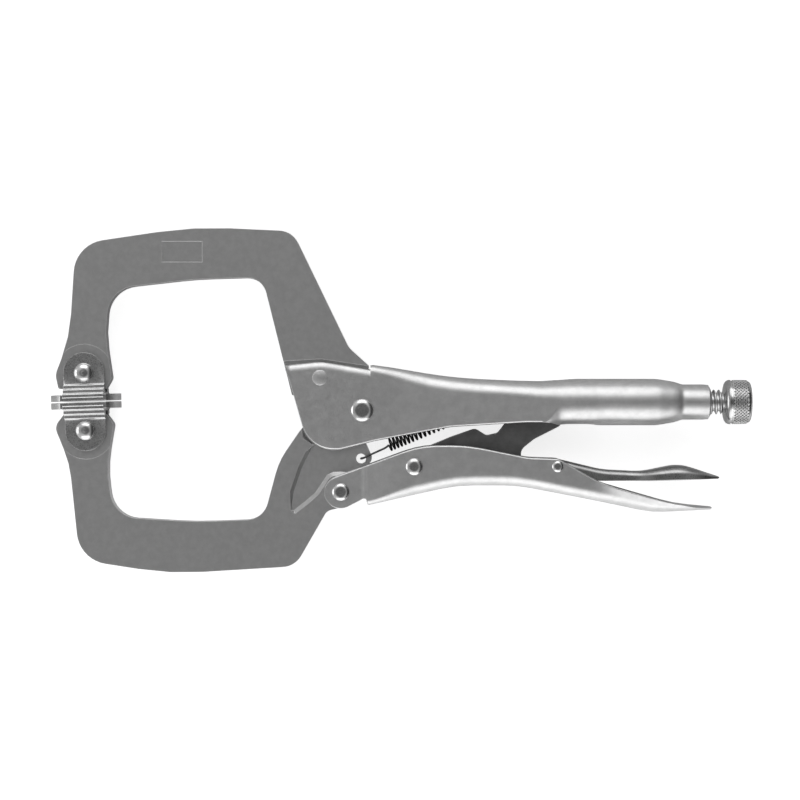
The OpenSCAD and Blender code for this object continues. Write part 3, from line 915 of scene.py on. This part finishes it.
def bent_wire(name, points, radius):
    """A round wire through points in metres, its bends rounded."""
    data = bpy.data.curves.new(name, "CURVE")
    data.dimensions = "3D"
    data.bevel_depth = radius
    data.bevel_resolution = 3
    data.use_fill_caps = True
    spline = data.splines.new("NURBS")
    spline.points.add(len(points) - 1)
    for point, place in zip(spline.points, points):
        point.co = (*place, 1.0)
    spline.order_u = 3
    spline.use_endpoint_u = True
    spline.resolution_u = 8
    curve = bpy.data.objects.new(name, data)
    bpy.context.scene.collection.objects.link(curve)
    graph = bpy.context.evaluated_depsgraph_get()
    graph.update()
    mesh = bpy.data.meshes.new_from_object(curve.evaluated_get(graph))
    bpy.data.objects.remove(curve)
    obj = bpy.data.objects.new(name, mesh)
    bpy.context.scene.collection.objects.link(obj)
    return obj


def build_spring():
    """The wound coil with a hook in the lower jaw's hole and one on the handle's tab."""
    wire_r, outside_r = 0.40, 2.75
    coil_r = outside_r - wire_r
    start = Vector((121, -17.6, 0))
    end = Vector((154.5, -3.7, 0))
    turns = 19.5
    length = (end - start).length
    coil = grown("coil", coil_tree(spring_black), {
        "Samples": round(turns * 24), "Turns": turns, "Length": length * MM, "Coil Radius": coil_r * MM,
        "Wire Radius": wire_r * MM, "Even Share": 0.756})
    axis = (end - start).normalized()
    up = Vector((0, 0, 1))
    place = Matrix.Translation(start * MM) @ Matrix((up, axis.cross(up), axis)).transposed().to_4x4()
    coil.data.transform(place)
    first = place @ Vector((coil_r * MM, 0, 0))
    last = place @ Vector((-coil_r * MM, 0, length * MM))
    hole = Vector((109.9, -23, 0))
    jaw_hook = [(120.0, -18.6, 2.9), (117.2, -19.8, 3.6), (113.5, -21.5, 4.0),
                (hole.x + 1.2, hole.y + 0.3, 4.1), (hole.x + 0.2, hole.y, 3.7), (hole.x, hole.y, 2),
                (hole.x, hole.y, -2), (hole.x + 0.2, hole.y, -3.8),
                (hole.x + 1.4, hole.y + 0.3, -4.2), (hole.x + 3.2, hole.y + 0.9, -4.1)]
    tab_hook = [(157.2, -2.4, 1.2), (159.2, -1.6, 2.4), (161.2, -1.5, 2.7), (163.2, -1.4, 2.0),
                (163.4, -1.4, 0)]
    near = bent_wire("near", [first] + [Vector(p) * MM for p in jaw_hook], wire_r * MM)
    far = bent_wire("far", [last] + [Vector(p) * MM for p in tab_hook], wire_r * MM)
    spring = join_meshes("spring_wire", [coil, near, far])
    spring.data.shade_smooth()
    spring.data.materials.clear()
    spring.data.materials.append(spring_black)
    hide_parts("spring")
    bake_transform(spring)


build_screw()
build_knob()
build_spring()


# ---- floor, light and camera -----------------------------------------------------------

def pale_floor():
    size = 3.0
    level = cad_box[0][2] - 0.0001
    mesh = bpy.data.meshes.new("floor")
    corners = [(-size, -size), (size, -size), (size, size), (-size, size)]
    mesh.from_pydata([(x, y, level) for x, y in corners], [], [(0, 1, 2, 3)])
    floor = bpy.data.objects.new("floor", mesh)
    bpy.context.scene.collection.objects.link(floor)
    material = bpy.data.materials.new("pale_floor")
    material.use_nodes = True
    tree = material.node_tree
    shader = tree.nodes["Principled BSDF"]
    shader.inputs["Base Color"].default_value = (0.7, 0.7, 0.7, 1)
    shader.inputs["Roughness"].default_value = 0.9
    shader.inputs["Specular IOR Level"].default_value = 0.1
    shader.inputs["Emission Color"].default_value = (1, 1, 1, 1)
    seen = times(tree, tree.nodes.new("ShaderNodeLightPath").outputs["Is Camera Ray"], 0.78)
    where = tree.nodes.new("ShaderNodeSeparateXYZ")
    tree.links.new(tree.nodes.new("ShaderNodeTexCoord").outputs["Object"], where.inputs[0])
    bounce = eased(tree, where.outputs["Y"], 0.0, -0.06, 0.0, 0.5)
    feed(tree, shader.inputs["Emission Strength"], maths(tree, "MAXIMUM", seen, bounce))
    mesh.materials.append(material)


def towards(azimuth, from_zenith):
    """A direction, as degrees round from +X and degrees down from straight up."""
    a, p = math.radians(azimuth), math.radians(from_zenith)
    return Vector((math.cos(a) * math.sin(p), math.sin(a) * math.sin(p), math.cos(p)))


def round_glow(tree, ray, centre, inner, outer, level):
    """Adds level inside inner degrees of a direction, fading to nothing at outer degrees."""
    near = tree.nodes.new("ShaderNodeVectorMath")
    near.operation = "DOT_PRODUCT"
    near.inputs[1].default_value = centre
    tree.links.new(ray, near.inputs[0])
    edge, full = math.cos(math.radians(outer)), math.cos(math.radians(inner))
    return eased(tree, near.outputs["Value"], edge, full, 0.0, level)


def studio_world():
    """Soft boxes behind, before and left of the tool, a dark ceiling and a dark right side."""
    world = bpy.data.worlds.new("studio")
    bpy.context.scene.world = world
    world.use_nodes = True
    tree = world.node_tree
    where = tree.nodes.new("ShaderNodeTexCoord")
    ray = where.outputs["Generated"]
    glows = [
        round_glow(tree, ray, towards(0, 0), 78, 100, 0.52),
        round_glow(tree, ray, towards(0, 0), 10, 27, -0.42),
        round_glow(tree, ray, towards(0, 80), 34, 68, -0.47),
        round_glow(tree, ray, towards(180, 36), 8, 26, -0.20),
        round_glow(tree, ray, towards(92, 54), 18, 30, 1.35),
        round_glow(tree, ray, towards(-92, 66), 24, 36, 1.20),
        round_glow(tree, ray, towards(180, 76), 14, 26, 1.5),
    ]
    total = glows[0]
    for glow in glows[1:]:
        total = plus(tree, total, glow)
    feed(tree, tree.nodes["Background"].inputs["Strength"], maths(tree, "MAXIMUM", total, 0.02))
    tree.nodes["Background"].inputs["Color"].default_value = (1, 1, 1, 1)


def place_camera():
    """Looks straight down from +Z; view_w is the width seen, in metres."""
    view_w = 0.320
    distance = 1.0
    data = bpy.data.cameras.new("camera")
    data.sensor_width = 36
    data.lens = data.sensor_width * distance / view_w
    camera = bpy.data.objects.new("camera", data)
    left_edge, middle_y = -0.03452, 0.0004
    middle_x = view_w / 2 + left_edge
    camera.location = (middle_x, middle_y, distance)
    bpy.context.scene.collection.objects.link(camera)
    bpy.context.scene.camera = camera


pale_floor()
studio_world()
place_camera()
bpy.context.scene.view_settings.view_transform = "Standard"
